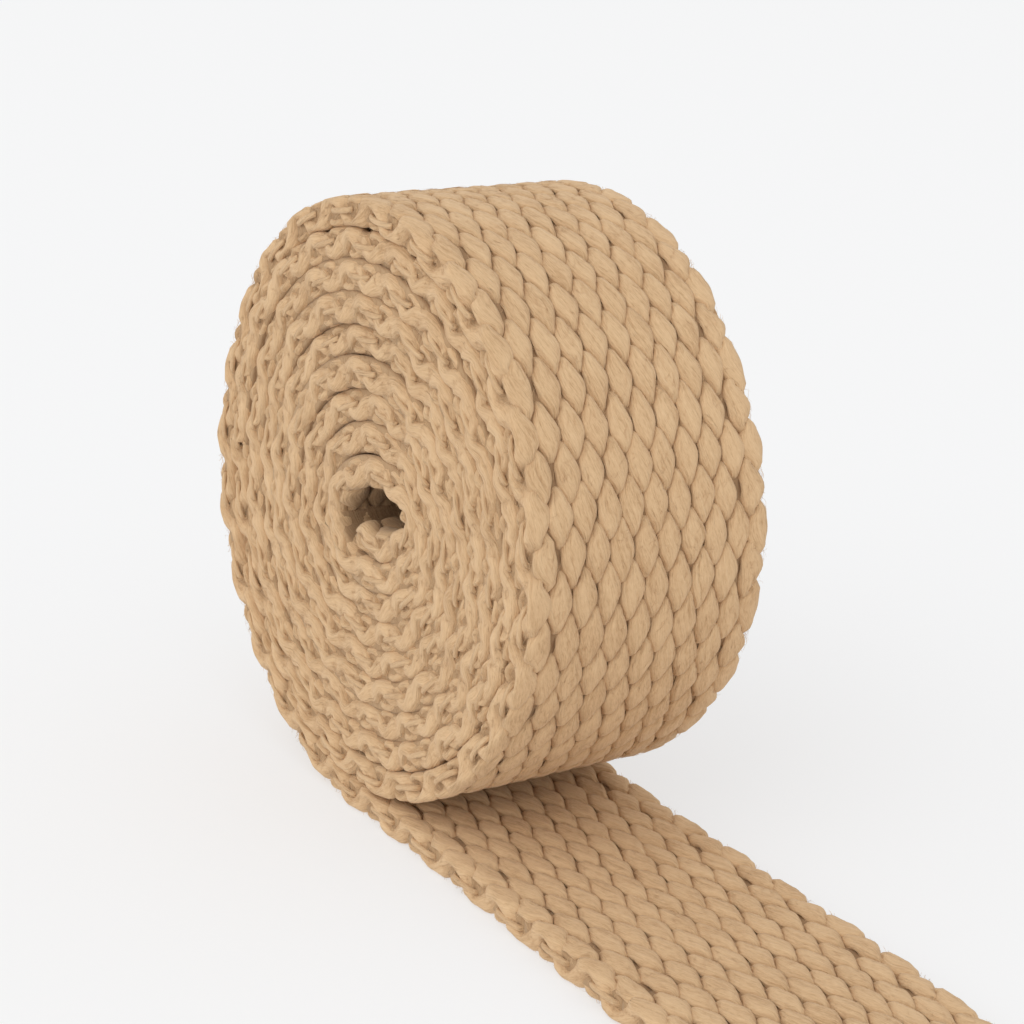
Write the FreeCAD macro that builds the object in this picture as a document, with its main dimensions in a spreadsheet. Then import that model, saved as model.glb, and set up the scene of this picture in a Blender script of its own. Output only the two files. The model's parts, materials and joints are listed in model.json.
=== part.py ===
import FreeCAD, Part

import os

# A coil of woven cotton webbing standing on its edge, with its outer end lying flat on the floor.
# The strip runs from the cut outer end along the floor to the point under the coil (x = 0,
# z = 0), up the -X side, over the top, down the +X side, and so on inwards. Each half turn is a
# half ring. The -X halves share one axis and the +X halves share another, half a lap pitch
# higher, which makes the coil a continuous two-centre spiral.

# name, value, what it is; lengths in millimetres, angles in degrees
SIZES = (
    ("web_width", 25.0, "width of the strip, along Y"),
    ("coil_radius", 29.3, "outer radius of the outermost lap"),
    ("lap_pitch", 2.85, "radial distance from one lap to the next"),
    ("lap_gap", 0.25, "free space between neighbouring laps"),
    ("end_gap", 0.2, "free space between the ends of neighbouring pieces"),
    ("root_angle", 4.0, "arc of the outermost lap that the flat run under the coil replaces"),
    ("root_length", 22.0, "flat run from under the coil's axis towards +X"),
    ("tail_link_length", 14.5, "each flat link beyond it"),
    ("inner_end_angle", 60.0, "arc of the loose inner end"),
)

LAP_COUNT = 9
LINK_COUNT = 12
TAIL_NAMES = ("tail_link_1", "tail_link_2", "tail_link_3", "tail_cut_end")

# name, formula, what it is
DERIVED = (
    ("web_thickness", "lap_pitch - lap_gap", "thickness of the strip"),
    ("back_axis", "coil_radius", "height of the axis of the -X halves"),
    ("front_axis", "coil_radius + lap_pitch / 2", "height of the axis of the +X halves"),
    ("link_angle", "(180 - root_angle) / %d" % LINK_COUNT, "arc of each link"),
)

doc = FreeCAD.newDocument("webbing_coil")
sheet = doc.addObject("Spreadsheet::Sheet", "Sizes")


def write_row(row, name, content, note):
    """Write one size, its alias and its note into the sheet."""
    sheet.set("A%d" % row, name)
    sheet.set("B%d" % row, content)
    sheet.set("C%d" % row, note)
    sheet.setAlias("B%d" % row, name)


for index, (name, value, note) in enumerate(SIZES, start=1):
    write_row(index, name, "%g" % value, note)
for index, (name, formula, note) in enumerate(DERIVED, start=len(SIZES) + 1):
    write_row(index, name, "=" + formula, note)
doc.recompute()

# Rings are built about their own +Z axis, with angles counted from their own +X. This turns
# that axis along Y and that start to straight down, so that angles grow up the -X side.
ON_EDGE = FreeCAD.Rotation(
    FreeCAD.Vector(0, 0, -1), FreeCAD.Vector(-1, 0, 0), FreeCAD.Vector(0, 1, 0), "XYZ"
)
ABOUT_RING_AXIS = FreeCAD.Vector(0, 0, 1)
CUTTER_OVERHANG = 1.0


def size(text):
    """A length formula in sheet names, as an expression in millimetres."""
    return "1 mm * (%s)" % text


def angle(text):
    """An angle formula in sheet names, as an expression in degrees."""
    return "1 deg * (%s)" % text


def ring_part(name, outer, axis_height, start, end):
    """A sector of a ring of the strip's thickness, standing on edge.

    outer is the outer radius, axis_height the height of its axis, and start and end are in
    degrees from straight down, up the -X side. All four are formulas in sheet names.
    """
    disc = doc.addObject("Part::Cylinder", name + "_disc")
    disc.setExpression("Radius", size(outer))
    disc.setExpression("Height", size("Sizes.web_width"))
    disc.setExpression("Angle", angle("(%s) - (%s)" % (end, start)))
    disc.Placement = FreeCAD.Placement(
        FreeCAD.Vector(0, 0, 0), FreeCAD.Rotation(ABOUT_RING_AXIS, 1.0)
    )
    disc.setExpression(".Placement.Rotation.Angle", angle(start))
    core = doc.addObject("Part::Cylinder", name + "_core")
    core.setExpression("Radius", size("%s - Sizes.web_thickness" % outer))
    core.setExpression("Height", size("Sizes.web_width + 2 * %g" % CUTTER_OVERHANG))
    core.Placement.Base = FreeCAD.Vector(0, 0, -CUTTER_OVERHANG)
    ring = doc.addObject("Part::Cut", name)
    ring.Base = disc
    ring.Tool = core
    ring.Placement = FreeCAD.Placement(FreeCAD.Vector(0, 0, 0), ON_EDGE)
    ring.setExpression(".Placement.Base.y", size("-Sizes.web_width / 2"))
    ring.setExpression(".Placement.Base.z", size(axis_height))
    return ring


def half_gap(outer):
    """Half of the gap between two ends, as an angle at the outer radius, in degrees."""
    return "(Sizes.end_gap / 2 / (%s) * 180 / pi)" % outer


def back_radius(lap):
    """Outer radius of a lap's -X half, as a formula."""
    return "(Sizes.coil_radius - %g * Sizes.lap_pitch)" % (lap - 1)


def front_radius(lap):
    """Outer radius of a lap's +X half, as a formula."""
    return "(Sizes.coil_radius - %g * Sizes.lap_pitch)" % (lap - 0.5)


def back_half(name, lap, start, end):
    """Part of a lap's -X half."""
    return ring_part(name, back_radius(lap), "Sizes.back_axis", start, end)


def front_half(name, lap):
    """A lap's +X half, from the top down to the gap before the next lap."""
    end = "360 - %s" % half_gap(front_radius(lap))
    return ring_part(name, front_radius(lap), "Sizes.front_axis", "180", end)


def flat_run(name, start, end):
    """A flat length of strip on the floor, between two distances along +X, as formulas."""
    run = doc.addObject("Part::Box", name)
    run.setExpression("Length", size("(%s) - (%s) - Sizes.end_gap" % (end, start)))
    run.setExpression("Width", size("Sizes.web_width"))
    run.setExpression("Height", size("Sizes.web_thickness"))
    run.setExpression(".Placement.Base.x", size("(%s) + Sizes.end_gap / 2" % start))
    run.setExpression(".Placement.Base.y", size("-Sizes.web_width / 2"))
    return run


subparts = []

# the flat run under the coil, which everything else hangs on, and the tail beyond it
root_start = "-Sizes.coil_radius * sin(1 deg * Sizes.root_angle)"
subparts.append(flat_run("tail_root", root_start, "Sizes.root_length"))
for number, name in enumerate(TAIL_NAMES):
    start = "Sizes.root_length + %d * Sizes.tail_link_length" % number
    end = "Sizes.root_length + %d * Sizes.tail_link_length" % (number + 1)
    subparts.append(flat_run(name, start, end))

# the -X half of the outermost lap, in links that lay down one after another
for number in range(LINK_COUNT):
    gap = half_gap(back_radius(1))
    start = "Sizes.root_angle + %d * Sizes.link_angle + %s" % (number, gap)
    end = "Sizes.root_angle + %d * Sizes.link_angle - %s" % (number + 1, gap)
    subparts.append(back_half("outer_lap_link_%02d" % (number + 1), 1, start, end))
subparts.append(
    ring_part(
        "outer_lap_front",
        front_radius(1),
        "Sizes.front_axis",
        "180 + %s" % half_gap(front_radius(1)),
        "360 - %s" % half_gap(front_radius(1)),
    )
)

# the laps inside it, each a full turn
for lap in range(2, LAP_COUNT + 1):
    name = "lap_%02d" % lap
    halves = doc.addObject("Part::MultiFuse", name)
    halves.Shapes = [
        back_half(name + "_back", lap, half_gap(back_radius(lap)), "180"),
        front_half(name + "_front", lap),
    ]
    subparts.append(halves)

# the loose inner end, standing in the eye of the coil
inner_lap = LAP_COUNT + 1
subparts.append(
    back_half("inner_end", inner_lap, half_gap(back_radius(inner_lap)), "Sizes.inner_end_angle")
)

doc.recompute()
for item in doc.Objects:
    if "Invalid" in item.State or "Error" in item.State:
        raise RuntimeError("%s did not recompute: %s" % (item.Name, item.State))

os.makedirs("parts", exist_ok=True)
for item in subparts:
    item.Label = item.Name
    shape = item.Shape
    if shape.isNull() or not shape.isValid() or len(shape.Solids) != 1:
        raise RuntimeError("%s is not one sound solid" % item.Name)
    shape.exportStep("parts/%s.step" % item.Name)
    print("%s %.1f mm3" % (item.Name, shape.Volume))
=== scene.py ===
import json
import logging
import math
from dataclasses import dataclass, field
from enum import Enum
from typing import Iterable, Sequence

import bpy
import numpy as np
from mathutils import Matrix, Vector

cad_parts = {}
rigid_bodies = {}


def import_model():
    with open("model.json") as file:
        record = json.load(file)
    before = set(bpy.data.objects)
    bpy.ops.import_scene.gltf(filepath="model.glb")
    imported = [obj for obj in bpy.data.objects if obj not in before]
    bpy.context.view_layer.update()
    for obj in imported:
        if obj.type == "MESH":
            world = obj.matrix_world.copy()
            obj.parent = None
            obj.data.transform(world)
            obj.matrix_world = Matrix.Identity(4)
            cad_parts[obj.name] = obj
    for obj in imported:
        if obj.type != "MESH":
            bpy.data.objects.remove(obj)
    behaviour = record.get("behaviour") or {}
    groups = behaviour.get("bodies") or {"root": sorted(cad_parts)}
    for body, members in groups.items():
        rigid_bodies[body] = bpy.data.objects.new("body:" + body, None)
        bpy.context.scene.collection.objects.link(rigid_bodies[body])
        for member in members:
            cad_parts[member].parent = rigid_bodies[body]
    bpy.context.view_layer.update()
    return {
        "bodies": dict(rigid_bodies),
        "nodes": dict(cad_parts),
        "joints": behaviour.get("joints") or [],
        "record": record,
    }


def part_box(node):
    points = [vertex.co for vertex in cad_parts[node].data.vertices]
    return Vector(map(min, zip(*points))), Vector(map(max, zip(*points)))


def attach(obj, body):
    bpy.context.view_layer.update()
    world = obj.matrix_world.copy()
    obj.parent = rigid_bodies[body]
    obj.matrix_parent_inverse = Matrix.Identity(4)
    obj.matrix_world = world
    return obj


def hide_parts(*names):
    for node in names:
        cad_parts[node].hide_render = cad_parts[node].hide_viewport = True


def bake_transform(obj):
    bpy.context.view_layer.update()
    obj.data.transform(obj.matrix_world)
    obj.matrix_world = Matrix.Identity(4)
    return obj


LOG = logging.getLogger("webbing_coil")
# metres in a millimetre, which is the unit of every size here unless it says otherwise
MM = 0.001
# a length of cloth shorter than this, in metres, is listed with the short lengths
SHORTEST_SHEET = 0.010
# two positions along the strip closer than this are the same place
SAME_PLACE = 1e-6


class Carry(Enum):
    """Which way a length of strip is carried when the coil moves."""

    RIDES = "rides"
    BENDS = "bends"


class Detail(Enum):
    """How finely a yarn is drawn: (step along it in mm, corners round it)."""

    FINE = (0.42, 20)
    EDGE = (0.5, 16)
    HIDDEN = (0.95, 10)


class Wander:
    """A smooth, seeded, irregular curve, made of a few sines."""

    def __init__(self, seed: int, size: float, lengths: Sequence[float]) -> None:
        """Pick the phases.

        Args:
            seed: fixes the curve.
            size: the curve's typical height.
            lengths: wavelengths of its sines, in the unit of its argument.
        """
        rng = np.random.default_rng(seed)
        self.phases = rng.uniform(0.0, 2.0 * math.pi, len(lengths))
        self.weights = rng.uniform(0.6, 1.0, len(lengths)) * size / math.sqrt(len(lengths))
        self.lengths = np.array(lengths, float)

    def __call__(self, at: np.ndarray) -> np.ndarray:
        """The curve's height at each position."""
        at = np.asarray(at, float)
        total = np.zeros_like(at)
        for phase, weight, length in zip(self.phases, self.weights, self.lengths):
            total += weight * np.sin(2.0 * math.pi * at / length + phase)
        return total


@dataclass(frozen=True)
class Sizes:
    """The strip's and coil's sizes, read from the CAD frame, in millimetres."""

    width: float
    radius: float
    pitch: float
    tail: float
    tail_hinges: tuple[float, ...]
    root_angle: float
    links: int
    laps: int
    inner_angle: float

    @staticmethod
    def from_frame(nodes: Iterable[str]) -> "Sizes":
        """Read the sizes off the boxes of the CAD nodes.

        Args:
            nodes: names of all CAD nodes.

        Returns:
            The sizes.
        """
        names = list(nodes)
        front_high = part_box("outer_lap_front")[1] / MM
        root_low, root_high = (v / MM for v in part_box("tail_root"))
        radius = front_high.z / 2.0
        hinges = [root_high.x]
        for name in ("tail_link_1", "tail_link_2", "tail_link_3"):
            hinges.append(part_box(name)[1].x / MM)
        end_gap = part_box("tail_link_1")[0].x / MM - root_high.x
        pitch = 2.0 * (radius - front_high.x)
        laps = 1 + sum(name.startswith("lap_") for name in names)
        inner_reach = -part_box("inner_end")[0].x / MM
        return Sizes(
            width=root_high.y - root_low.y,
            radius=radius,
            pitch=pitch,
            tail=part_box("tail_cut_end")[1].x / MM,
            tail_hinges=tuple(x + end_gap / 2.0 for x in hinges),
            root_angle=math.degrees(math.asin((end_gap / 2.0 - root_low.x) / radius)),
            links=sum(name.startswith("outer_lap_link_") for name in names),
            laps=laps,
            inner_angle=math.degrees(math.asin(inner_reach / (radius - laps * pitch))),
        )


@dataclass(frozen=True)
class Settling:
    """How a coil wound by hand differs from an even spiral; its tilt is in degrees.

    Each move grows from nothing at the outermost lap to its full size in the middle of the eye.
    """

    shift_x: float = 2.0
    shift_z: float = -0.5
    stretch: float = 2.7
    stretch_power: float = 1.3
    squeeze: float = 0.4
    squeeze_power: int = 4
    tilt: float = 14.0
    three_lobes: float = 0.10
    five_lobes: float = 0.07
    slack: float = 0.12
    # nothing is pushed outwards below the first height, and all of it above both together
    calm_below: float = 1.5
    calm_fades_over: float = 12.0


class Centreline:
    """The middle of the strip's thickness, from the cut end to the inner end.

    Positions along it are in millimetres: 0 under the coil's axis, negative along the tail.
    """

    STEP_DEG = 0.5
    TAIL_POINTS = 900
    PAST_THE_CUT = 5.0
    SMOOTHED_OVER = 7

    def __init__(self, sizes: Sizes, depth: float) -> None:
        """Lay the line out as a two-centre spiral with a squeezed eye.

        Args:
            sizes: the coil's sizes.
            depth: distance of the line below the strip's outer face.
        """
        self.sizes = sizes
        self.depth = depth
        self.settling = Settling()
        self.last_angle = 360.0 * sizes.laps + sizes.inner_angle
        angles = np.arange(0.0, self.last_angle + self.STEP_DEG, self.STEP_DEG)
        x, z = self._plan(angles)
        tail_x = np.linspace(sizes.tail + self.PAST_THE_CUT, 0.0, self.TAIL_POINTS)[:-1]
        x = np.concatenate([tail_x, x])
        z = np.concatenate([np.full_like(tail_x, depth), z])
        steps = np.hypot(np.diff(x), np.diff(z))
        along = np.concatenate([[0.0], np.cumsum(steps)])
        zero = len(tail_x)
        self.s = along - along[zero]
        self.x, self.z = x, z
        tangent_x = self._smooth(np.gradient(x, self.s))
        tangent_z = self._smooth(np.gradient(z, self.s))
        size = np.hypot(tangent_x, tangent_z)
        self.normal_x, self.normal_z = -tangent_z / size, tangent_x / size
        self.angles, self.angle_s = angles, self.s[zero:]

    def _smooth(self, values: np.ndarray) -> np.ndarray:
        """A running mean of the same length."""
        kernel = np.ones(self.SMOOTHED_OVER) / self.SMOOTHED_OVER
        return np.convolve(np.pad(values, self.SMOOTHED_OVER // 2, "edge"), kernel, "valid")

    def _plan(self, angles: np.ndarray) -> tuple[np.ndarray, np.ndarray]:
        """Points of the spiral.

        Args:
            angles: angles from straight down, growing up the -X side, in degrees.

        Returns:
            The points' x and z.
        """
        size = self.sizes
        half_turn = np.floor(angles / 180.0)
        radius = size.radius - self.depth - half_turn * size.pitch / 2.0
        axis = size.radius + np.where(half_turn % 2 == 1, size.pitch / 2.0, 0.0)
        turn = np.radians(angles)
        x, z = -radius * np.sin(turn), axis - radius * np.cos(turn)
        return self._settle(x, z)

    def _settle(self, x: np.ndarray, z: np.ndarray) -> tuple[np.ndarray, np.ndarray]:
        """Squeeze the eye to a slot and put in the small unevenness of a coil wound by hand.

        Args:
            x: the even spiral's points.
            z: their heights.

        Returns:
            The points' x and z after that.
        """
        how = self.settling
        centre = self.sizes.radius + self.sizes.pitch / 4.0
        dx, dz = x, z - centre
        radius = np.hypot(dx, dz) + 1e-9
        inward = np.clip(1.0 - radius / (self.sizes.radius - 1.0), 0.0, 1.0)
        dx, dz = dx + how.shift_x * inward ** 2, dz + how.shift_z * inward ** 2
        stretch = how.stretch * inward ** how.stretch_power
        squeeze = how.squeeze * inward ** how.squeeze_power
        tilt = math.radians(how.tilt)
        c, s = math.cos(tilt), math.sin(tilt)
        u, v = c * dx + s * dz, -s * dx + c * dz
        u, v = u * (1.0 + stretch / radius), v * (1.0 - squeeze / radius)
        around = np.arctan2(dz, dx)
        lift = how.three_lobes * np.sin(3.0 * around + 0.8)
        lift += how.five_lobes * np.sin(5.0 * around + 2.1)
        # nothing is pushed outwards where the coil bears on the floor
        calm = np.clip((z - how.calm_below) / how.calm_fades_over, 0.0, 1.0)
        scale = 1.0 + calm * (lift - how.slack) / self.sizes.radius
        u, v = u * scale, v * scale
        return c * u - s * v, centre + s * u + c * v

    def at_angle(self, angle: float) -> float:
        """Position along the strip at an angle of the spiral."""
        return float(np.interp(angle, self.angles, self.angle_s))

    def end(self) -> float:
        """Position of the inner end."""
        return self.at_angle(self.last_angle)

    def point(self, s: float) -> Vector:
        """The line's point at a position along the strip, in metres."""
        return Vector((np.interp(s, self.s, self.x), 0.0, np.interp(s, self.s, self.z))) * MM

    def place(self, s: np.ndarray, y: np.ndarray, n: np.ndarray) -> np.ndarray:
        """Strip coordinates to the frame.

        Args:
            s: position along the strip.
            y: position across it.
            n: height from the middle of its thickness, towards the coil's outside, and on the
                tail downwards.

        Returns:
            Points in metres, with one more axis of length 3.
        """
        x, z = np.interp(s, self.s, self.x), np.interp(s, self.s, self.z)
        nx = np.interp(s, self.s, self.normal_x)
        nz = np.interp(s, self.s, self.normal_z)
        return np.stack([x + n * nx, y, z + n * nz], axis=-1) * MM


class TubeMesh:
    """Collects tubes and ribbons into one mesh, with the yarn coordinates its material needs."""

    def __init__(self) -> None:
        """Start with nothing in the mesh."""
        self.points: list[np.ndarray] = []
        self.faces: list[np.ndarray] = []
        self.yarns: list[np.ndarray] = []
        self.count = 0

    def add(self, points: np.ndarray, yarn: np.ndarray, capped: tuple[bool, bool]) -> None:
        """Add one tube.

        Args:
            points: its corners, shaped (rings, corners in a ring, 3), in metres.
            yarn: shaped (rings, corners, 4): distance along the yarn, distance round it, its own
            number, and its painted shade, from 0 at the surface to 1 deep in the cloth.
            capped: whether its start and its end are closed.
        """
        rings, corners = points.shape[:2]
        index = self.count + np.arange(rings * corners).reshape(rings, corners)
        after = np.roll(index, -1, axis=1)
        quads = np.stack([index[:-1], after[:-1], after[1:], index[1:]], axis=-1).reshape(-1, 4)
        self.faces.append(quads)
        flat, flat_yarn = points.reshape(-1, 3), yarn.reshape(-1, 4)
        extra, extra_yarn = [], []
        top = self.count + rings * corners
        for closed, ring, flip in ((capped[0], 0, True), (capped[1], rings - 1, False)):
            if not closed:
                continue
            a, b = index[ring], after[ring]
            if flip:
                a, b = b, a
            middle = np.full(corners, top)
            self.faces.append(np.stack([a, b, middle, middle], axis=-1))
            extra.append(points[ring].mean(axis=0))
            extra_yarn.append(yarn[ring].mean(axis=0))
            top += 1
        self.points += [flat, np.array(extra).reshape(-1, 3)]
        self.yarns += [flat_yarn, np.array(extra_yarn).reshape(-1, 4)]
        self.count = top

    def build(self, name: str, material: bpy.types.Material) -> bpy.types.Object:
        """Make the object.

        Args:
            name: the object's name.
            material: its only material.

        Returns:
            The object, linked to the scene and smooth shaded.
        """
        points = np.concatenate(self.points).astype(np.float32)
        quads = np.concatenate(self.faces)
        triangle = quads[:, 2] == quads[:, 3]
        sizes = np.where(triangle, 3, 4)
        keep = np.ones_like(quads, bool)
        keep[triangle, 3] = False
        corners = quads[keep].astype(np.int32)
        starts = np.concatenate([[0], np.cumsum(sizes)[:-1]]).astype(np.int32)
        mesh = bpy.data.meshes.new(name)
        mesh.vertices.add(len(points))
        mesh.vertices.foreach_set("co", points.ravel())
        mesh.loops.add(len(corners))
        mesh.loops.foreach_set("vertex_index", corners)
        mesh.polygons.add(len(sizes))
        mesh.polygons.foreach_set("loop_start", starts)
        mesh.update(calc_edges=True)
        mesh.validate()
        mesh.shade_smooth()
        yarns = np.concatenate(self.yarns).astype(np.float32)
        yarn = mesh.attributes.new("yarn", "FLOAT_VECTOR", "POINT")
        yarn.data.foreach_set("vector", yarns[:, :3].ravel())
        # painted shade for the material, from the fourth yarn value
        painted_shade = mesh.attributes.new("painted_shade", "FLOAT", "POINT")
        painted_shade.data.foreach_set("value", np.ascontiguousarray(yarns[:, 3]))
        mesh.materials.append(material)
        item = bpy.data.objects.new(name, mesh)
        bpy.context.scene.collection.objects.link(item)
        return item


@dataclass(frozen=True)
class Weave:
    """A heavy plain weave with its warp on both faces, in millimetres."""

    ends: int = 20
    row: float = 3.6
    half_thickness: float = 1.41
    dip: float = 1.56
    dip_power: float = 6.0
    crest_power: float = 0.72
    float_half_width: float = 1.35
    cross_half_width: float = 0.645
    tip_slope: float = 0.38
    squareness: float = 0.72
    plies: float = 5.0
    ply_depth: float = 0.012
    ply_twist: float = 0.55

    def top(self, wave: np.ndarray) -> np.ndarray:
        """Height of a warp end's outer face, from its wave: 1 on top, -1 at the bottom."""
        return self.half_thickness - self.dip * ((1.0 - wave) / 2.0) ** self.dip_power

    def half_width(self, wave: np.ndarray) -> np.ndarray:
        """Half the width of a warp end's outer side: wide on its float, a point where it dives."""
        grown = np.clip(wave, 0.0, 1.0) ** self.crest_power
        float_part = self.cross_half_width + grown * (self.float_half_width - self.cross_half_width)
        return float_part * (1.0 + self.tip_slope * np.clip(wave, -1.0, 0.0))


@dataclass(frozen=True)
class Selvedge:
    """How the last two warp ends at each edge of the strip lie, the outermost of them first.

    Both of their floats reach the strip's very edge, one behind the other. The two open values
    are for the edge of a single thickness of strip, and the rest are for laps packed together,
    where the crest of a float is fuller and swells over its neighbours.
    """

    open_shift: tuple[float, float] = (-0.42, 0.45)
    open_rise: tuple[float, float] = (0.92, 0.96)
    outer_width: float = 0.58
    outer_swell: float = 0.42
    outer_inset: float = 0.16
    outer_inset_swell: float = 0.06
    outer_height: float = 0.70
    outer_height_swell: float = 0.39
    outer_height_power: float = 0.7
    outer_rise: float = 1.02
    next_swell: float = 0.26
    next_shift: float = 0.36
    next_height: float = 1.06
    next_rise: float = 1.03
    # the second end takes its lumps from another stretch of the same curve
    next_lumps_offset: float = 20.0


@dataclass(frozen=True)
class Weft:
    """The yarn that goes to and fro across the strip inside the warp."""

    half_width: float = 0.28
    half_height: float = 0.20
    turn_inset: float = 0.62
    turn_bulge: float = 0.40
    # near the edge the yarn is pressed to another section
    edge_zone: float = 0.8
    edge_width: float = 0.85
    edge_height: float = 1.45
    inner_width: float = 0.8
    weave_depth: float = 0.16
    edge_drift: float = 0.2
    cut_inset: float = 0.6


@dataclass(frozen=True)
class Core:
    """The closed body of the cloth behind its floats, as half thicknesses and edge insets."""

    ring_step: float = 0.6
    thin: float = 0.80
    packed: float = 1.41
    rib_open: float = 0.8
    rib_over_open_lap: float = 1.2
    rib_between_laps: float = 1.6
    edge_share: float = 0.85
    open_recess: float = 0.85
    closed_recess: float = 0.64
    rib_width: float = 0.2
    web_inset: float = 1.7
    # painted shade on the core, lighter at its edges and at the cut end's face
    painted_shade: float = 0.9
    edge_painted_shade: float = 0.62
    cut_inset: float = 0.08
    cut_swell: float = 1.2
    cut_painted_shade: float = 0.35


@dataclass(frozen=True)
class Fuzz:
    """Loose fibres: how many for each millimetre of strip, and how they lie."""

    per_face_mm: float = 60.0
    per_edge_mm: float = 12.0
    radius: float = 0.016
    shortest: float = 0.5
    longest: float = 1.5
    highest: float = 0.08
    sunk: float = 0.03
    curl: float = 0.5
    face_spread: float = 0.35
    edge_spread: float = 1.2
    edge_reach: float = 1.1
    edge_limit: float = 1.2
    edge_inset: float = 0.22
    edge_hollow: float = 0.45
    past_the_ends: float = 0.3


@dataclass(frozen=True)
class Length:
    """One length of the strip, and how it moves.

    full asks for all its detail, covered says that another lap lies on its outer face, and opens
    says that its inner face shows, or will when the coil moves.
    """

    name: str
    start: float
    stop: float
    carry: Carry
    bodies: tuple[str, ...]
    bend_from: float = 0.0
    bend_to: float = 0.0
    nodes: tuple[str, ...] = ()
    full: bool = True
    covered: bool = False
    opens: bool = False


@dataclass
class WarpRun:
    """A warp end's run through a length of strip, with one entry for each ring of its tube."""

    s: np.ndarray
    y: np.ndarray
    n: np.ndarray
    wave: np.ndarray
    girth: np.ndarray
    wide_up: np.ndarray
    wide_down: np.ndarray
    half_height: np.ndarray


@dataclass(frozen=True)
class FibreRoots:
    """Where fibres start; out_y and out_n say which way is off the cloth at each."""

    s: np.ndarray
    y: np.ndarray
    n: np.ndarray
    out_y: np.ndarray
    out_n: float


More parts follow.
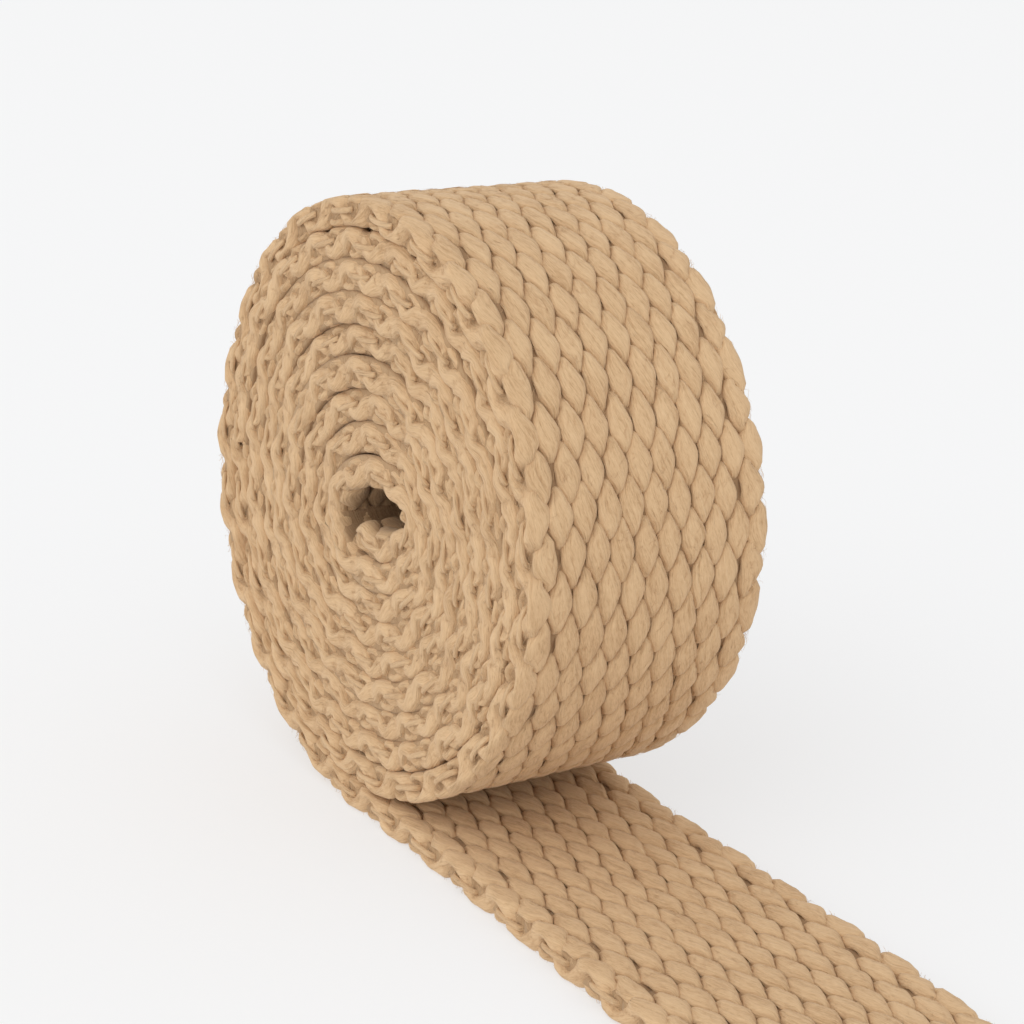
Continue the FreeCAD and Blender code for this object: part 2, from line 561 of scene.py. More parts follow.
class Webbing:
    """The woven strip: makes any length of it as mesh."""

    # yarn numbers only have to differ, so that no two yarns have the same streaks
    FIRST_WARP = 1.0
    FIRST_WEFT = 50.0
    FIRST_FIBRE = 60.0
    CORE_NUMBER = 90.0
    # how deep in the cloth its colour starts to darken with painted shade, and over what further
    # depth
    PAINTED_SHADE_STARTS = 0.50
    PAINTED_SHADE_DEEPENS_OVER = 0.50
    EDGE_ROUNDING = 0.15
    # painted shade on the wall of the eye deepens over this distance in from the edge, up to this
    # share
    EYE_SHADE_DEEPENS_OVER = 3.0
    EYE_SHADE_DARKEST = 0.8

    def __init__(self, sizes: Sizes, weave: Weave, line: Centreline) -> None:
        """Fix the unevenness of every yarn.

        Args:
            sizes: the strip's sizes.
            weave: how it is woven.
            line: where it lies.
        """
        self.sizes, self.weave, self.line = sizes, weave, line
        self.selvedge, self.weft, self.core, self.fuzz = Selvedge(), Weft(), Core(), Fuzz()
        self.column = (sizes.width - 0.5) / weave.ends
        self.edge_drift = Wander(11, 0.30, (61.0, 97.0, 173.0))
        self.edge_lumps = Wander(14, 0.05, (2.3, 3.1, 4.7, 7.9))
        self.width_drift = Wander(12, 0.012, (43.0, 71.0))
        self.row_drift = Wander(13, 0.22, (17.0, 29.0, 53.0))
        self.end_phase = [Wander(100 + j, 0.20, (9.0, 14.0, 31.0)) for j in range(weave.ends)]
        self.end_side = [Wander(200 + j, 0.07, (5.3, 8.7, 19.0)) for j in range(weave.ends)]
        self.end_girth = [Wander(300 + j, 0.045, (4.1, 7.9, 23.0)) for j in range(weave.ends)]
        self.end_height = [Wander(400 + j, 0.05, (6.1, 11.0)) for j in range(weave.ends)]

    def painted_shade(
        self, s: np.ndarray, y: np.ndarray, n: np.ndarray, in_eye: bool = False
    ) -> np.ndarray:
        """Painted shade: how deep in the cloth points lie, from 0 at its faces and edges to 1.

        Args:
            s: positions along the strip.
            y: positions across it.
            n: heights from the middle of its thickness.
            in_eye: whether the inner face is the wall of the eye, where painted shade deepens
                further in.

        Returns:
            The share of painted shade for each point.
        """
        under_face = self.weave.half_thickness - np.abs(n)
        half_width = self.sizes.width / 2.0 - self.EDGE_ROUNDING
        under_edge = half_width - np.abs(y - self.edge_drift(s))
        depth = np.minimum(under_face, under_edge)
        share = np.clip((depth - self.PAINTED_SHADE_STARTS) / self.PAINTED_SHADE_DEEPENS_OVER, 0.0, 1.0)
        share = share * share * (3.0 - 2.0 * share)
        # painted shade on the eye's wall, darker further in from the strip's edge
        if in_eye:
            further_in = np.clip(under_edge / self.EYE_SHADE_DEEPENS_OVER, 0.0, self.EYE_SHADE_DARKEST)
            share = np.maximum(share, np.where(n < 0.3, further_in, 0.0))
        return share

    def across(self, s: np.ndarray, place: float) -> np.ndarray:
        """Position across the strip of something that keeps its place in it."""
        return place * (1.0 + self.width_drift(s)) + self.edge_drift(s)

    def phase(self, s: np.ndarray, end: int) -> np.ndarray:
        """Where a warp end is in its wave: 0 on top of a float on the outer face."""
        steady = math.pi * (s / self.weave.row + end)
        return steady + self.row_drift(s) + self.end_phase[end](s)

    def warp_run(self, end: int, length: Length, step: float) -> WarpRun:
        """Where a warp end goes in a length of strip, and how thick it is there.

        Args:
            end: its number, from one edge of the strip to the other.
            length: the length of strip.
            step: about how far apart its rings are.

        Returns:
            Its run.
        """
        weave = self.weave
        rings = max(3, int(math.ceil((length.stop - length.start) / step)) + 1)
        s = np.linspace(length.start, length.stop, rings)
        wave = np.cos(self.phase(s, end))
        top, bottom = weave.top(wave), -weave.top(-wave)
        girth = 1.0 + self.end_girth[end](s)
        place = (end - (weave.ends - 1) / 2.0) * self.column
        run = WarpRun(
            s=s,
            y=self.across(s, place) + self.end_side[end](s),
            n=(top + bottom) / 2.0 + self.end_height[end](s),
            wave=wave,
            girth=girth,
            wide_up=girth * weave.half_width(wave),
            wide_down=girth * weave.half_width(-wave),
            half_height=(top - bottom) / 2.0,
        )
        self._lay_selvedge(run, end, math.copysign(1.0, place), length.covered)
        return run

    def _lay_selvedge(self, run: WarpRun, end: int, outward: float, packed: bool) -> None:
        """Bring the last two ends to the strip's edge, and leave all the others as they are.

        Args:
            run: the end's run, which is changed.
            end: its number, from one edge of the strip to the other.
            outward: 1 where the nearer edge is at +Y and -1 where it is at -Y.
            packed: whether another lap lies on this one.
        """
        edge = self.selvedge
        from_edge = min(end, self.weave.ends - 1 - end)
        crest = np.abs(run.wave) ** self.weave.crest_power
        if from_edge > 1:
            return
        if not packed:
            run.y += outward * edge.open_shift[from_edge] * crest
            run.n *= edge.open_rise[from_edge]
        elif from_edge == 0:
            width = run.girth * (edge.outer_width + edge.outer_swell * crest)
            run.wide_up = run.wide_down = width + self.edge_lumps(run.s)
            run.y -= outward * (edge.outer_inset + edge.outer_inset_swell * crest)
            swell = edge.outer_height_swell * np.abs(run.wave) ** edge.outer_height_power
            run.half_height *= edge.outer_height + swell
            run.n *= edge.outer_rise
        else:
            swell = edge.next_swell * crest + self.edge_lumps(run.s + edge.next_lumps_offset)
            run.wide_up, run.wide_down = run.wide_up + swell, run.wide_down + swell
            run.y += outward * edge.next_shift * crest
            run.half_height *= edge.next_height
            run.n *= edge.next_rise

    def add_end(self, mesh: TubeMesh, end: int, length: Length, detail: Detail) -> None:
        """Add one warp end of a length of strip.

        Args:
            mesh: what to add it to.
            end: its number, from one edge of the strip to the other.
            length: the length of strip.
            detail: how finely it is drawn.
        """
        weave = self.weave
        step, corners = detail.value
        run = self.warp_run(end, length, step)
        around = np.arange(corners) * 2.0 * math.pi / corners
        c, d = np.cos(around), np.sin(around)
        # a little squarer than an ellipse, and lobed where its plies lie
        c = np.sign(c) * np.abs(c) ** weave.squareness
        d = np.sign(d) * np.abs(d) ** weave.squareness
        ply_turn = weave.plies * around[None, :] + weave.ply_twist * run.s[:, None] + 1.7 * end
        plies = 1.0 + weave.ply_depth * np.cos(ply_turn)
        grid_s = np.repeat(run.s[:, None], corners, axis=1)
        # each side of the yarn has its own width, and the two run into each other
        up = np.clip(0.5 + d, 0.0, 1.0)[None, :]
        wide = run.wide_down[:, None] * (1.0 - up) + run.wide_up[:, None] * up
        grid_y = run.y[:, None] + wide * c[None, :] * plies
        grid_n = run.n[:, None] + run.half_height[:, None] * d[None, :] * plies
        points = self.line.place(grid_s, grid_y, grid_n)
        round_it = np.repeat((around * 1.1)[None, :], len(run.s), axis=0)
        number = np.full_like(grid_s, self.FIRST_WARP + end)
        painted_shade = self.painted_shade(grid_s, grid_y, grid_n, length.covered and length.opens)
        yarn = np.stack([grid_s, round_it, number, painted_shade], axis=-1)
        mesh.add(points, yarn, (self.is_cut(length), self.is_inner_end(length)))

    def is_cut(self, length: Length) -> bool:
        """Whether a length starts at the strip's cut end."""
        return length.start <= -self.sizes.tail + SAME_PLACE

    def is_inner_end(self, length: Length) -> bool:
        """Whether a length stops at the strip's inner end."""
        return length.stop >= self.line.end() - SAME_PLACE

    def add_pick(self, mesh: TubeMesh, row: int, corners: int) -> None:
        """Add one weft pick and its turn round the edge, where it meets the next pick.

        Args:
            mesh: what to add it to.
            row: its number, from 0 under the coil's axis.
            corners: how many corners its section has.
        """
        weft = self.weft
        s0 = row * self.weave.row
        reach = self.sizes.width / 2.0 - weft.turn_inset
        side = 1.0 if row % 2 else -1.0
        run = np.linspace(-side * reach, side * reach, 28)
        turn = np.linspace(0.0, math.pi, 12)[1:]
        y = np.concatenate([run, side * (reach + weft.turn_bulge * np.sin(turn))])
        back = s0 + self.weave.row * (1 - np.cos(turn)) / 2.0
        s = np.concatenate([np.full_like(run, s0), back])
        low, high = -self.sizes.tail + weft.cut_inset, self.line.end() - weft.cut_inset
        s = np.clip(s, low, high)
        drift = weft.edge_drift * np.sin(0.7 * row) * (np.abs(y) / reach) ** 4
        n = weft.weave_depth * np.sin(math.pi * y / self.column) + drift
        y = self.across(s, 0.0) + y * (1.0 + self.width_drift(s))
        ds, dy = np.gradient(s), np.gradient(y)
        size = np.hypot(ds, dy) + 1e-9
        side_s, side_y = -dy / size, ds / size
        around = np.arange(corners) * 2.0 * math.pi / corners
        at_edge = np.abs(y) > reach - weft.edge_zone
        wide = weft.half_width * np.where(at_edge, weft.edge_width, weft.inner_width)
        high_part = np.where(at_edge, weft.edge_height, 1.0) * weft.half_height
        grid_s = s[:, None] + (side_s * wide)[:, None] * np.cos(around)[None, :]
        grid_y = y[:, None] + (side_y * wide)[:, None] * np.cos(around)[None, :]
        grid_n = n[:, None] + high_part[:, None] * np.sin(around)[None, :]
        grid_s = np.clip(grid_s, low - 0.5, high + 0.5)
        points = self.line.place(grid_s, grid_y, grid_n)
        along = np.concatenate([[0.0], np.cumsum(np.hypot(np.diff(s), np.diff(y)))])
        yarn = np.stack(
            [
                np.repeat(along[:, None], corners, axis=1),
                np.repeat((around * 0.5)[None, :], len(s), axis=0),
                np.full_like(grid_s, self.FIRST_WEFT + 0.37 * row),
                self.painted_shade(grid_s, grid_y, grid_n),
            ],
            axis=-1,
        )
        mesh.add(points, yarn, (True, True))

    def warp_mesh(self, length: Length) -> TubeMesh:
        """All warp ends of a length of strip.

        Args:
            length: the length of strip.

        Returns:
            One closed or open tube for each end.
        """
        mesh = TubeMesh()
        for end in range(self.weave.ends):
            at_edge = min(end, self.weave.ends - 1 - end) < 3
            detail = Detail.EDGE if at_edge else Detail.HIDDEN
            self.add_end(mesh, end, length, Detail.FINE if length.full else detail)
        return mesh

    def weft_mesh(self, length: Length) -> TubeMesh:
        """All weft picks that start within a length of strip.

        Args:
            length: the length of strip.

        Returns:
            One closed tube for each pick, or nothing where none starts.
        """
        mesh = TubeMesh()
        corners = 10 if length.full else 8
        first = math.ceil(length.start / self.weave.row - 1e-9)
        for row in range(first, math.ceil(length.stop / self.weave.row - 1e-9)):
            self.add_pick(mesh, row, corners)
        return mesh

    def fuzz_mesh(self, length: Length, seed: int) -> TubeMesh:
        """Loose fibres that lie on the face that shows and on the edges.

        Args:
            length: the length of strip.
            seed: fixes the fibres.

        Returns:
            The fibres.
        """
        rng = np.random.default_rng(seed)
        mesh = TubeMesh()
        if length.full:
            self._fibres(mesh, rng, self._face_roots(length, rng))
        for side in (-1.0, 1.0):
            self._fibres(mesh, rng, self._edge_roots(length, rng, side))
        return mesh

    def _face_roots(self, length: Length, rng: np.random.Generator) -> FibreRoots:
        """Roots on the floats of the face that shows: above on the tail, outside on the coil.

        Args:
            length: the length of strip.
            rng: where the random numbers come from.

        Returns:
            The roots.
        """
        weave = self.weave
        face_side = -1.0 if length.stop <= 0.0 else 1.0
        count = int((length.stop - length.start) * self.fuzz.per_face_mm)
        end = rng.integers(1, weave.ends - 1, count)
        s = rng.uniform(length.start, length.stop, count)
        wave = np.array([np.cos(self.phase(at, int(one))) for at, one in zip(s, end)])
        on_float = wave * face_side > 0.1
        end, s, wave = end[on_float], s[on_float], wave[on_float]
        lateral = rng.uniform(-0.8, 0.8, len(s))
        place = (end - (weave.ends - 1) / 2.0) * self.column
        y = self.across(s, 0.0) + place + lateral * weave.float_half_width
        dome = (1.0 - np.abs(lateral) ** 2.4) ** 0.42
        rise = weave.top(np.abs(wave)) * (0.72 + 0.28 * dome)
        return FibreRoots(s, y, face_side * rise, np.zeros(len(s)), face_side)

    def _edge_roots(self, length: Length, rng: np.random.Generator, side: float) -> FibreRoots:
        """Roots on one edge of the strip, which is a little hollow between its corners.

        Args:
            length: the length of strip.
            rng: where the random numbers come from.
            side: 1 for the edge at +Y and -1 for the other.

        Returns:
            The roots.
        """
        fuzz = self.fuzz
        count = int((length.stop - length.start) * fuzz.per_edge_mm)
        s = rng.uniform(length.start, length.stop, count)
        n = rng.uniform(-fuzz.edge_reach, fuzz.edge_reach, count)
        y = self.across(s, side * (self.sizes.width / 2.0 - fuzz.edge_inset))
        y -= side * fuzz.edge_hollow * (n / fuzz.edge_reach) ** 2
        return FibreRoots(s, y, n, np.full(count, side), 0.0)

    def _fibres(self, mesh: TubeMesh, rng: np.random.Generator, roots: FibreRoots) -> None:
        """Add one curved fibre at each root.

        Args:
            mesh: what to add them to.
            rng: where the random numbers come from.
            roots: where the fibres start.
        """
        fuzz = self.fuzz
        count = len(roots.s)
        length = rng.uniform(fuzz.shortest, fuzz.longest, count)
        spread = fuzz.face_spread if roots.out_n else fuzz.edge_spread
        turn = rng.normal(0.0, spread, count) + rng.choice([0.0, math.pi], count)
        curl = rng.normal(0.0, fuzz.curl, count)
        lift = np.minimum(rng.gamma(2.0, 0.02, count), fuzz.highest)
        u = np.linspace(0.0, 1.0, 5)[None, :]
        run = length[:, None] * u
        bend = turn[:, None] + curl[:, None] * u
        s = roots.s[:, None] + run * np.cos(bend)
        across = run * np.sin(bend)
        off = lift[:, None] * np.sin(math.pi * 0.8 * u) - fuzz.sunk
        first, last = -self.sizes.tail - fuzz.past_the_ends, self.line.end() + fuzz.past_the_ends
        s = np.clip(s, first, last)
        if roots.out_n:
            y, n = roots.y[:, None] + across, roots.n[:, None] + roots.out_n * off
        else:
            y = roots.y[:, None] + roots.out_y[:, None] * off
            n = np.clip(roots.n[:, None] + across, -fuzz.edge_limit, fuzz.edge_limit)
        centre = self.line.place(s, y, n)
        around = np.arange(3) * 2.0 * math.pi / 3.0
        ring = np.stack([np.cos(around), np.sin(around), np.cos(around + 1.0)], axis=-1)
        taper = np.array([1.0, 1.0, 0.9, 0.7, 0.3])[None, :, None, None]
        points = centre[:, :, None, :] + fuzz.radius * MM * taper * ring[None, None]
        for fibre in range(count):
            number = self.FIRST_FIBRE + float(fibre % 97) * 0.31
            along = np.repeat((run[fibre])[:, None], 3, axis=1)
            flat = np.zeros_like(along)
            yarn = np.stack([along, flat, np.full_like(along, number), flat], axis=-1)
            mesh.add(points[fibre], yarn, (False, False))

    def core_mesh(self, length: Length) -> TubeMesh:
        """The core: the body of the cloth behind its floats, which shows in the deepest pits and is
        coloured with painted shade.

        Args:
            length: the length of strip.

        Returns:
            A closed solid, thin where a face can be seen and as thick as the lap elsewhere.
        """
        core = self.core
        is_cut = self.is_cut(length)
        rings = max(3, int(math.ceil((length.stop - length.start) / core.ring_step)) + 1)
        s = np.linspace(length.start, length.stop, rings)
        s[0] += core.cut_inset if is_cut else 0.0
        outline = self._core_outline(length)
        grid_s = np.repeat(s[:, None], len(outline), axis=1)
        grid_y = np.stack([self.across(s, y) for y, _ in outline], axis=1)
        grid_n = np.repeat(np.array([n for _, n in outline])[None, :], rings, axis=0)
        grid_y += np.sign(grid_y) * self.edge_lumps(grid_s * 1.7 + 3.0 * grid_n)
        widest = max(y for y, _ in outline)
        at_edge = np.array([abs(y) > widest - 0.1 for y, _ in outline])
        # painted shade: the core is dark, a little lighter at its edges
        painted_shade = np.repeat(np.where(at_edge, core.edge_painted_shade, core.painted_shade)[None, :], rings, axis=0)
        # the cut end's face gets less painted shade
        if is_cut:
            grid_n[:2] *= core.cut_swell
            painted_shade[:2] = core.cut_painted_shade
        points = self.line.place(grid_s, grid_y, grid_n)
        number = np.full_like(grid_s, self.CORE_NUMBER)
        yarn = np.stack([grid_s, grid_y, number, painted_shade], axis=-1)
        mesh = TubeMesh()
        mesh.add(points, yarn, (True, True))
        return mesh

    def _core_outline(self, length: Length) -> list[tuple[float, float]]:
        """The core's section: at each side an edge and a rib beside it, and a flat web between.

        Args:
            length: the length of strip.

        Returns:
            The section's corners, each as its position across the strip and its height.
        """
        core = self.core
        recess = core.closed_recess if length.covered or length.opens else core.open_recess
        insets = np.array([recess, recess + core.rib_width, core.web_inset])
        edge, rib, web = self.sizes.width / 2.0 - insets
        outer_rib = core.rib_open
        if length.covered:
            outer_rib = core.rib_over_open_lap if length.full else core.rib_between_laps
        outer_web = core.thin if length.full else core.packed
        inner_rib, inner_web = core.packed, core.packed
        if length.opens:
            inner_rib, inner_web = core.rib_open, core.thin
        outer = [(edge, core.edge_share * outer_rib), (rib, outer_rib), (web, outer_web)]
        inner = [(edge, -core.edge_share * inner_rib), (rib, -inner_rib), (web, -inner_web)]
        half_outline = [*inner[::-1], *outer]
        return half_outline + [(-y, n) for y, n in half_outline[::-1]]


@dataclass(frozen=True)
class Cotton:
    """Undyed tan cotton: colours are linear, depths in mm, and twist in radians for each mm."""

    name: str = "cotton_yarn"
    light: tuple[float, float, float] = (0.735, 0.515, 0.302)
    base: tuple[float, float, float] = (0.630, 0.420, 0.236)
    deep: tuple[float, float, float] = (0.475, 0.288, 0.146)
    # colour of the painted shade deep in the cloth, and below how much of it is mixed in at most
    painted_shade: tuple[float, float, float] = (0.165, 0.080, 0.034)
    strand_depth: float = 0.12
    fibre_depth: float = 0.05
    felt_depth: float = 0.07
    twist: float = 0.22
    painted_shade_share: float = 0.70

    def build(self) -> bpy.types.Material:
        """Make the material from procedural nodes that follow each yarn."""
        material = bpy.data.materials.new(self.name)
        material.use_nodes = True
        nodes, links = material.node_tree.nodes, material.node_tree.links
        nodes.clear()
        out = nodes.new("ShaderNodeOutputMaterial")
        shader = nodes.new("ShaderNodeBsdfPrincipled")
        links.new(shader.outputs["BSDF"], out.inputs["Surface"])
        shader.inputs["Roughness"].default_value = 0.92
        shader.inputs["Specular IOR Level"].default_value = 0.18
        shader.inputs["Sheen Weight"].default_value = 0.22
        shader.inputs["Sheen Roughness"].default_value = 0.5
        shader.inputs["Sheen Tint"].default_value = (1.0, 0.86, 0.68, 1.0)

        yarn = nodes.new("ShaderNodeAttribute")
        yarn.attribute_name = "yarn"
        split = nodes.new("ShaderNodeSeparateXYZ")
        links.new(yarn.outputs["Vector"], split.inputs["Vector"])
        around = split.outputs["Y"]
        twisted = self._math(material, "MULTIPLY_ADD", split.outputs["X"], self.twist, around)
        strand = self._streaks(material, split, twisted, along=0.16, across=4.2, detail=2.0)
        fibre = self._streaks(material, split, twisted, along=1.8, across=13.0, detail=3.0)
        slub = self._streaks(material, split, twisted, along=0.22, across=0.25, detail=2.0)
        felt = self._streaks(material, split, twisted, along=2.4, across=2.6, detail=3.0)
        tone = self._mix(material, strand, 0.42, fibre, 0.60, slub, 0.35)
        links.new(self._colour(material, tone), shader.inputs["Base Color"])
        normal = self._relief(
            material,
            (strand, self.strand_depth),
            (fibre, self.fibre_depth),
            (felt, self.felt_depth),
        )
        links.new(normal, shader.inputs["Normal"])
        return material

    def _colour(
        self, material: bpy.types.Material, tone: bpy.types.NodeSocket
    ) -> bpy.types.NodeSocket:
        """The yarn's colour, with painted shade where it lies deep in the cloth.

        Args:
            material: what to add the nodes to.
            tone: how light the yarn is, from 0 to 1.

        Returns:
            The colour.
        """
        nodes, links = material.node_tree.nodes, material.node_tree.links
        ramp = nodes.new("ShaderNodeValToRGB")
        ramp.color_ramp.elements[0].position = 0.30
        ramp.color_ramp.elements[0].color = (*self.deep, 1.0)
        ramp.color_ramp.elements[1].position = 0.74
        ramp.color_ramp.elements[1].color = (*self.light, 1.0)
        middle = ramp.color_ramp.elements.new(0.48)
        middle.color = (*self.base, 1.0)
        links.new(tone, ramp.inputs["Fac"])
        # painted shade: mixed in as far as the attribute says the yarn lies deep in the cloth
        painted_shade = nodes.new("ShaderNodeAttribute")
        painted_shade.attribute_name = "painted_shade"
        share = self._math(material, "MULTIPLY", painted_shade.outputs["Fac"], self.painted_shade_share)
        shade = nodes.new("ShaderNodeMix")
        shade.data_type = "RGBA"
        # a mix of colours has its factor in socket 0, and its colours in 6 and 7
        links.new(share, shade.inputs[0])
        links.new(ramp.outputs["Color"], shade.inputs[6])
        shade.inputs[7].default_value = (*self.painted_shade, 1.0)
        return shade.outputs[2]

    @staticmethod
    def _relief(
        material: bpy.types.Material, *layers: tuple[bpy.types.NodeSocket, float]
    ) -> bpy.types.NodeSocket:
        """Bumps on top of each other.

        Args:
            material: what to add them to.
            layers: for each bump its height, from 0 to 1, and its depth in millimetres.

        Returns:
            The normal that they give together.
        """
        nodes, links = material.node_tree.nodes, material.node_tree.links
        below = None
        for height, depth in layers:
            bump = nodes.new("ShaderNodeBump")
            bump.inputs["Strength"].default_value = 1.0
            bump.inputs["Distance"].default_value = depth * MM
            links.new(height, bump.inputs["Height"])
            if below is not None:
                links.new(below, bump.inputs["Normal"])
            below = bump.outputs["Normal"]
        return below

    @staticmethod
    def _math(
        material: bpy.types.Material, kind: str, a: object, b: object, c: object = None
    ) -> bpy.types.NodeSocket:
        """Add one maths node.

        Args:
            material: what to add it to.
            kind: its operation.
            a: its first value, a socket or a number.
            b: its second value.
            c: its third value, or None.

        Returns:
            Its output.
        """
        node = material.node_tree.nodes.new("ShaderNodeMath")
        node.operation = kind
        for socket, value in zip(node.inputs, (a, b, c)):
            if isinstance(value, bpy.types.NodeSocket):
                material.node_tree.links.new(value, socket)
            elif value is not None:
                socket.default_value = value
        return node.outputs["Value"]

    def _streaks(
        self,
        material: bpy.types.Material,
        split: bpy.types.Node,
        twisted: bpy.types.NodeSocket,
        along: float,
        across: float,
        detail: float,
    ) -> bpy.types.NodeSocket:
        """Noise drawn out along the yarn.

        Args:
            material: what to add it to.
            split: the node that gives the yarn's coordinates.
            twisted: the distance round the yarn, with the yarn's twist in it.
            along: repeats for each millimetre along the yarn.
            across: repeats for each millimetre round it.
            detail: the noise's detail.

        Returns:
            The noise, from 0 to 1.
        """
        nodes, links = material.node_tree.nodes, material.node_tree.links
        join = nodes.new("ShaderNodeCombineXYZ")
        links.new(self._math(material, "MULTIPLY", split.outputs["X"], along), join.inputs["X"])
        links.new(self._math(material, "MULTIPLY", twisted, across), join.inputs["Y"])
        links.new(self._math(material, "MULTIPLY", split.outputs["Z"], 7.31), join.inputs["Z"])
        noise = nodes.new("ShaderNodeTexNoise")
        noise.inputs["Scale"].default_value = 1.0
        noise.inputs["Detail"].default_value = detail
        noise.inputs["Roughness"].default_value = 0.55
        links.new(join.outputs["Vector"], noise.inputs["Vector"])
        return noise.outputs["Fac"]

    def _mix(self, material: bpy.types.Material, *pairs: object) -> bpy.types.NodeSocket:
        """A weighted sum, from alternating sockets and weights, kept centred on a half."""
        total: object = 0.5 - 0.5 * sum(pairs[1::2])
        for socket, weight in zip(pairs[::2], pairs[1::2]):
            total = self._math(material, "MULTIPLY_ADD", socket, weight, total)
        return total


class WebbingCoil:
    """The whole object: lengths of woven strip, each riding length carried by the CAD body under
    it.
    """

    SLOT = "cotton_webbing"
    # how far the drawn cloth stays inside the CAD solids
    CLEARANCE = 0.02
    # where the tail's first length meets the coil's, from under the coil's axis
    TAIL_SEAM = 10.0
    # where the coil's first length starts to bend
    FIRST_BEND = -1.8
    # half the arc over which a lap runs into the next one, and the last lap into the inner end
    LAP_SPREAD_DEG = 90.0
    INNER_END_SPREAD_DEG = 20.0
    # laps with another lap on them need less detail, from this one on, counted from 0
    FIRST_PLAIN_LAP = 2

    def __init__(self, frame: dict) -> None:
        """Read the sizes and lay out the strip.
        """
        self.sizes = Sizes.from_frame(frame["nodes"])
        self.weave = Weave()
        depth = self.weave.half_thickness + self.CLEARANCE
        self.line = Centreline(self.sizes, depth)
        self.webbing = Webbing(self.sizes, self.weave, self.line)
        self.material = Cotton().build()

    def tail_lengths(self) -> list[Length]:
        """The tail.

        Returns:
            One length over each of its hinges.
        """
        chain = ("tail_root", "tail_link_1", "tail_link_2", "tail_link_3", "tail_cut_end")
        hinges = self.sizes.tail_hinges
        spacing = hinges[1] - hinges[0]
        found = []
        for number, hinge in enumerate(hinges):
            last = number == len(hinges) - 1
            outer = self.sizes.tail if last else hinge + spacing / 2.0
            inner = self.TAIL_SEAM if number == 0 else hinge - spacing / 2.0
            found.append(
                Length(
                    name=f"tail_{number + 1}",
                    start=-outer,
                    stop=-inner,
                    carry=Carry.BENDS,
                    bodies=(chain[number], chain[number + 1]),
                    bend_from=-(hinge - spacing / 2.0),
                    bend_to=-(hinge + spacing / 2.0),
                    nodes=(chain[number + 1],) if number else chain[:2],
                    opens=True,
                )
            )
        return found

    def unrolling_lengths(self) -> list[Length]:
        """The -X half of the outermost lap.

        Returns:
            One length over each of its hinges.
        """
        size = self.sizes
        step = (180.0 - size.root_angle) / size.links
        chain = ["tail_root"]
        chain += [f"outer_lap_link_{number + 1:02d}" for number in range(size.links)]
        chain.append("outer_lap_front")
        found = []
        for number in range(size.links + 1):
            hinge = size.root_angle + number * step
            before = self.line.at_angle(max(hinge - step / 2.0, 0.0))
            after = self.line.at_angle(hinge + step / 2.0)
            found.append(
                Length(
                    name=f"outer_lap_bend_{number + 1:02d}",
                    start=-self.TAIL_SEAM if number == 0 else before,
                    stop=after,
                    carry=Carry.BENDS,
                    bodies=(chain[number], chain[number + 1]),
                    bend_from=self.FIRST_BEND if number == 0 else before,
                    bend_to=after,
                    nodes=(chain[number + 1],) if number < size.links else (),
                    opens=True,
                )
            )
        return found

    def coil_lengths(self) -> list[Length]:
        """The rest of the coil.

        Returns:
            The top of each lap and each run under the coil's axis, from the outside inwards.
        """
        size = self.sizes
        names = ["outer_lap_front"] + [f"lap_{lap:02d}" for lap in range(2, size.laps + 1)]
        found = []
        step = (180.0 - size.root_angle) / size.links
        top_from = 180.0 + step / 2.0
        for number, name in enumerate(names):
            turn = 360.0 * number
            is_last = number == len(names) - 1
            found.append(
                Length(
                    name=f"{name}_top",
                    start=self.line.at_angle(top_from),
                    stop=self.line.at_angle(turn + 270.0),
                    carry=Carry.RIDES,
                    bodies=(name,),
                    nodes=(name,),
                    full=number < self.FIRST_PLAIN_LAP,
                    covered=number > 0,
                    opens=is_last,
                )
            )
            top_from = turn + 450.0
            inner = "inner_end" if is_last else names[number + 1]
            bottom = turn + 360.0
            spread = self.INNER_END_SPREAD_DEG if is_last else self.LAP_SPREAD_DEG
            found.append(
                Length(
                    name=f"{name}_to_{inner}",
                    start=self.line.at_angle(turn + 270.0),
                    stop=self.line.end() if is_last else self.line.at_angle(turn + 450.0),
                    carry=Carry.BENDS,
                    bodies=(name, inner),
                    bend_from=self.line.at_angle(bottom - spread),
                    bend_to=self.line.at_angle(bottom + spread),
                    nodes=("inner_end",) if is_last else (),
                    full=number < self.FIRST_PLAIN_LAP,
                    covered=number > 0,
                    opens=is_last,
                )
            )
        return found

    def carry(self, item: bpy.types.Object, length: Length) -> None:
        """Hang a piece of a riding length on its body; a piece of a bending length is only baked in
        place.

        Args:
            item: the piece.
            length: its length of strip.
        """
        if length.carry is Carry.RIDES:
            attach(item, length.bodies[0])
            return
        start, end = self.line.point(length.bend_from), self.line.point(length.bend_to)
        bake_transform(item)

    def weave_length(self, length: Length, seed: int) -> tuple[bpy.types.Object, list]:
        """Make the pieces of one length of strip; those of a riding length are hung on its body.

        Args:
            length: the length of strip.
            seed: fixes its loose fibres.

        Returns:
            The body of the cloth, and a list of the yarns and fibres on it.
        """
        warp = self.webbing.warp_mesh(length)
        weft = self.webbing.weft_mesh(length)
        fuzz = self.webbing.fuzz_mesh(length, seed)
        core = self.webbing.core_mesh(length)
        pieces = [warp.build(f"{length.name}_warp", self.material)]
        pieces.append(fuzz.build(f"{length.name}_fibres", self.material))
        if weft.count:
            pieces.append(weft.build(f"{length.name}_weft", self.material))
        sheet = core.build(f"{length.name}_cloth", self.material)
        for item in [*pieces, sheet]:
            self.carry(item, length)
        if length.nodes:
            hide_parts(*length.nodes)
        return sheet, pieces

    def build(self) -> None:
        """Make every length and log how long it is and how many faces it has."""
        lengths = self.tail_lengths() + self.unrolling_lengths() + self.coil_lengths()
        short = []
        for number, length in enumerate(lengths):
            sheet, pieces = self.weave_length(length, number)
            cut = (length.stop - length.start) * MM
            if cut < SHORTEST_SHEET:
                short += [*pieces, sheet]
            else:
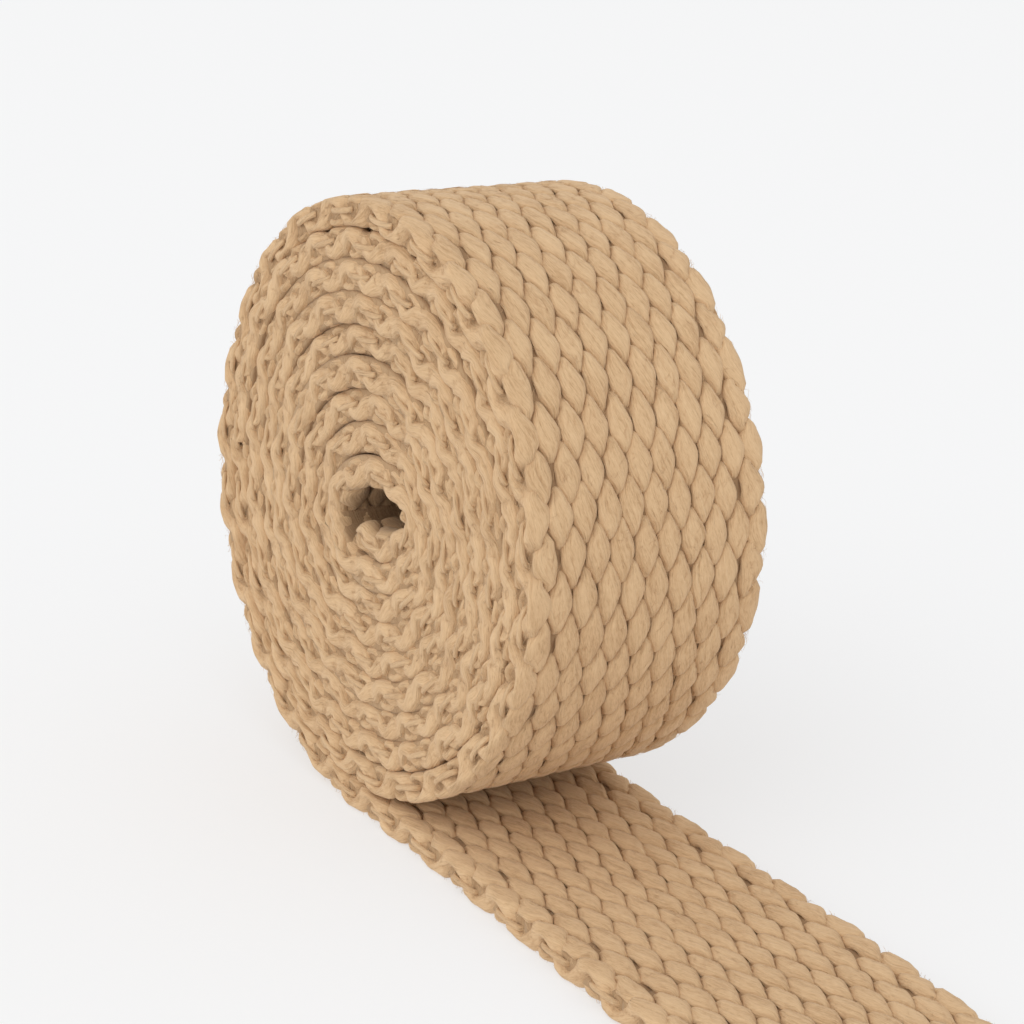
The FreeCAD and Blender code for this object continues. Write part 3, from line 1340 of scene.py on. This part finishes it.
                # a long enough length empties the list of the lengths too short to be sheets of
                # their own
                short = []
            faces = sum(len(item.data.polygons) for item in pieces)
            LOG.info("%s: %.1f mm of strip, %d faces", length.name, cut / MM, faces)


def direction(azimuth: float, elevation: float) -> Vector:
    """The way from the object to a place round it, by angles in degrees; 0, 0 is along -Y."""
    a, e = math.radians(azimuth), math.radians(elevation)
    return Vector((math.sin(a) * math.cos(e), -math.cos(a) * math.cos(e), math.sin(e)))


@dataclass(frozen=True)
class Lamp:
    """One soft lamp: where it is and what it gives."""

    name: str
    azimuth: float
    elevation: float
    distance: float
    size: float
    power: float
    colour: tuple[float, float, float] = (1.0, 1.0, 1.0)

    def build(self, target: Vector) -> None:
        """Place the lamp facing the target.

        Args:
            target: where it points, in metres.
        """
        data = bpy.data.lights.new(self.name, "AREA")
        data.shape = "DISK"
        data.size = self.size
        data.energy = self.power
        data.color = self.colour
        lamp = bpy.data.objects.new(self.name, data)
        back = direction(self.azimuth, self.elevation)
        lamp.location = target + back * self.distance
        lamp.rotation_mode = "QUATERNION"
        lamp.rotation_quaternion = (-back).to_track_quat("-Z", "Y")
        bpy.context.scene.collection.objects.link(lamp)


@dataclass(frozen=True)
class Studio:
    """A pale floor, soft light and the camera."""

    floor_size: float = 6.0
    world: float = 0.785
    world_side: float = 0.60
    world_side_from: tuple[float, float, float] = (0.34, -0.94, 0.0)
    azimuth: float = 56.13
    elevation: float = 18.92
    distance: float = 7.274
    roll: float = 3.39
    lens: float = 83.2
    target: tuple[float, float, float] = (0.3152, -0.0712, 1.0682)
    lamps: tuple[Lamp, ...] = field(
        default_factory=lambda: (
            Lamp("key", 20.0, 45.0, 2.6, 1.9, 8.0),
            Lamp("fill", 105.0, 40.0, 2.6, 1.9, 2.0),
        )
    )

    def build(self, radius: float) -> None:
        """Make floor, world, lamps and camera.

        Args:
            radius: the coil's outer radius in metres, which the camera's place is in.
        """
        bpy.context.scene.view_settings.view_transform = "Standard"
        self._floor()
        self._world()
        target = Vector(self.target) * radius
        for lamp in self.lamps:
            lamp.build(target)
        self._camera(target, radius)

    def _floor(self) -> None:
        """A pale matt floor that glows a little, so that the shadows on it stay faint."""
        half = self.floor_size / 2.0
        mesh = bpy.data.meshes.new("floor")
        corners = [(-half, -half, 0), (half, -half, 0), (half, half, 0), (-half, half, 0)]
        mesh.from_pydata(corners, [], [(0, 1, 2, 3)])
        floor = bpy.data.objects.new("floor", mesh)
        bpy.context.scene.collection.objects.link(floor)
        material = bpy.data.materials.new("floor")
        material.use_nodes = True
        shader = material.node_tree.nodes["Principled BSDF"]
        shader.inputs["Base Color"].default_value = (0.40, 0.403, 0.408, 1.0)
        shader.inputs["Emission Color"].default_value = (1.0, 1.0, 1.0, 1.0)
        shader.inputs["Emission Strength"].default_value = 0.525
        shader.inputs["Roughness"].default_value = 1.0
        shader.inputs["Specular IOR Level"].default_value = 0.0
        mesh.materials.append(material)

    def _world(self) -> None:
        """White light from all round, stronger from one side."""
        world = bpy.data.worlds.new("studio")
        world.use_nodes = True
        nodes, links = world.node_tree.nodes, world.node_tree.links
        background = nodes["Background"]
        background.inputs["Color"].default_value = (1.0, 1.0, 1.0, 1.0)
        towards = nodes.new("ShaderNodeTexCoord")
        facing = nodes.new("ShaderNodeVectorMath")
        facing.operation = "DOT_PRODUCT"
        facing.inputs[1].default_value = self.world_side_from
        links.new(towards.outputs["Generated"], facing.inputs[0])
        only = nodes.new("ShaderNodeMath")
        only.operation = "MAXIMUM"
        only.inputs[1].default_value = 0.0
        links.new(facing.outputs["Value"], only.inputs[0])
        strength = nodes.new("ShaderNodeMath")
        strength.operation = "MULTIPLY_ADD"
        strength.inputs[1].default_value = self.world_side
        strength.inputs[2].default_value = self.world
        links.new(only.outputs["Value"], strength.inputs[0])
        links.new(strength.outputs["Value"], background.inputs["Strength"])
        bpy.context.scene.world = world

    def _camera(self, target: Vector, radius: float) -> None:
        """The camera, facing the target from its azimuth and elevation, and rolled.

        Args:
            target: what it faces, in metres.
            radius: the coil's outer radius in metres, which its distance is in.
        """
        back = direction(self.azimuth, self.elevation)
        right = (-back).cross(Vector((0, 0, 1))).normalized()
        up = right.cross(-back)
        roll = math.radians(self.roll)
        tilted_right = math.cos(roll) * right + math.sin(roll) * up
        tilted_up = -math.sin(roll) * right + math.cos(roll) * up
        data = bpy.data.cameras.new("camera")
        data.lens = self.lens
        data.sensor_width = 36.0
        data.clip_start = 0.01
        camera = bpy.data.objects.new("camera", data)
        turn = Matrix((tilted_right, tilted_up, back)).transposed().to_4x4()
        camera.matrix_world = Matrix.Translation(target + back * self.distance * radius) @ turn
        bpy.context.scene.collection.objects.link(camera)
        bpy.context.scene.camera = camera


def main() -> None:
    """Build the strip on the frame, then the studio."""
    logging.basicConfig(level=logging.INFO, format="%(message)s")
    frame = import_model()
    coil = WebbingCoil(frame)
    coil.build()
    Studio().build(coil.sizes.radius * MM)


if __name__ == "__main__":
    main()
